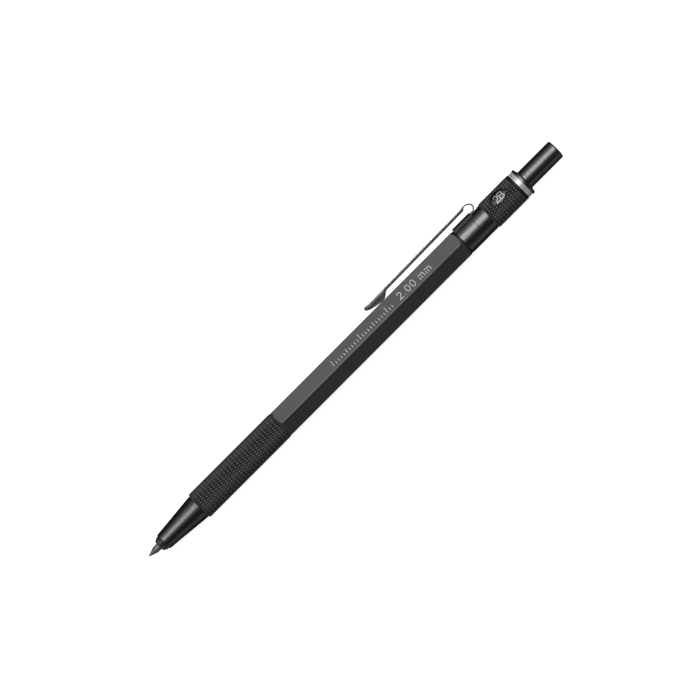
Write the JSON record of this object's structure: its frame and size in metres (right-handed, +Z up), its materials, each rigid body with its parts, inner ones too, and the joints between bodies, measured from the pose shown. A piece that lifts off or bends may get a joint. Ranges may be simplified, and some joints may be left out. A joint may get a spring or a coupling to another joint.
{
  "type": "mechanical pencil",
  "caption": "Hexagonal clutch lead holder with a knurled grip, spring clip, turning lead grade indicator and sprung push button that opens the jaws.",
  "frame": {"origin": "centre of the box's underside: the pencil lies on Z = 0", "axes": "+X along the pencil from the lead to the push button, +Z up, a flat of the barrel faces down, the clip is 30 degrees up from +Y"},
  "size_m": [0.153, 0.0112, 0.0089],
  "materials": {
    "lead": "graphite, sharpened point with fine turning streaks",
    "clutch": "blackened, polished head",
    "brass": "plain drawn tube",
    "spring_steel": "bright wire and strip",
    "nose": "satin black lacquer over turned metal",
    "grip": "semi-matt black over diamond knurling",
    "barrel": "satin graphite grey lacquer",
    "core": "turned, unpainted",
    "collars": "satin black lacquer over turned metal",
    "clip": "satin nickel, folded strip",
    "drum": "black, white printed lead grades",
    "nitrile": "plain",
    "indicator": "semi-matt black over diamond knurling",
    "accent_ring": "satin turned",
    "end_ring": "satin black lacquer",
    "button": "satin black lacquer"
  },
  "bodies": {
    "body": {"barrel": "barrel", "grip_sleeve": "grip", "nose_cone": "nose", "spring_seat": "spring_steel", "return_spring": "spring_steel", "head_core": "core", "clip_leg": "clip", "clip_bend": "clip", "clip_collar": "collars", "rear_collar": "collars", "grade_drum": "drum", "friction_ring": "nitrile", "accent_ring": "accent_ring", "end_ring": "end_ring"},
    "push_assembly": {"clutch_shank": "brass", "lead_tube": "brass", "thrust_collar": "brass", "push_button": "button"},
    "jaw_1": {"clutch_jaw_1": "clutch"},
    "jaw_2": {"clutch_jaw_2": "clutch"},
    "jaw_3": {"clutch_jaw_3": "clutch"},
    "lead": {"lead": "lead"},
    "indicator": {"indicator_sleeve": "indicator"},
    "clip": {"clip_arm": "clip"},
    "cap": {"button_cap": "button", "pointer_cutter": "spring_steel"}
  },
  "joints": [
    {"name": "push", "type": "slide", "parent": "body", "child": "push_assembly", "axis": [-1, 0, 0], "range_m": [0, 0.003], "stiffness_N_per_m": 500, "springref_m": -0.004, "deforming": ["return_spring"]},
    {"name": "jaw_1_open", "type": "hinge", "parent": "push_assembly", "child": "jaw_1", "pos_m": [-0.06048, -0.00162, 0.00531], "axis": [0, 0.866, 0.5], "range_deg": [0, 2]},
    {"name": "jaw_2_open", "type": "hinge", "parent": "push_assembly", "child": "jaw_2", "pos_m": [-0.06048, -0.00162, 0.00306], "axis": [0, -0.866, 0.5], "range_deg": [0, 2]},
    {"name": "jaw_3_open", "type": "hinge", "parent": "push_assembly", "child": "jaw_3", "pos_m": [-0.06048, 0.00033, 0.00419], "axis": [0, 0, -1], "range_deg": [0, 2]},
    {"name": "lead_feed", "type": "slide", "parent": "push_assembly", "child": "lead", "axis": [-1, 0, 0], "range_m": [-0.0039, 0.008]},
    {"name": "indicator_turn", "type": "hinge", "parent": "body", "child": "indicator", "pos_m": [0.05652, -0.00097, 0.00419], "axis": [1, 0, 0], "continuous": true},
    {"name": "clip_flex", "type": "hinge", "parent": "body", "child": "clip", "pos_m": [0.04952, 0.00362, 0.00683], "axis": [0, 0.5, -0.866], "range_deg": [0, 4], "stiffness_Nm_per_rad": 1.2, "springref_deg": -2.86, "deforming": ["clip_bend"]},
    {"name": "cap_pull", "type": "slide", "parent": "push_assembly", "child": "cap", "axis": [1, 0, 0], "range_m": [0, 0.006]}
  ],
  "couplings": [
    {"joint": "jaw_1_open", "follows": "push", "rad_per_m": 11.624},
    {"joint": "jaw_2_open", "follows": "push", "rad_per_m": 11.624},
    {"joint": "jaw_3_open", "follows": "push", "rad_per_m": 11.624}
  ]
}
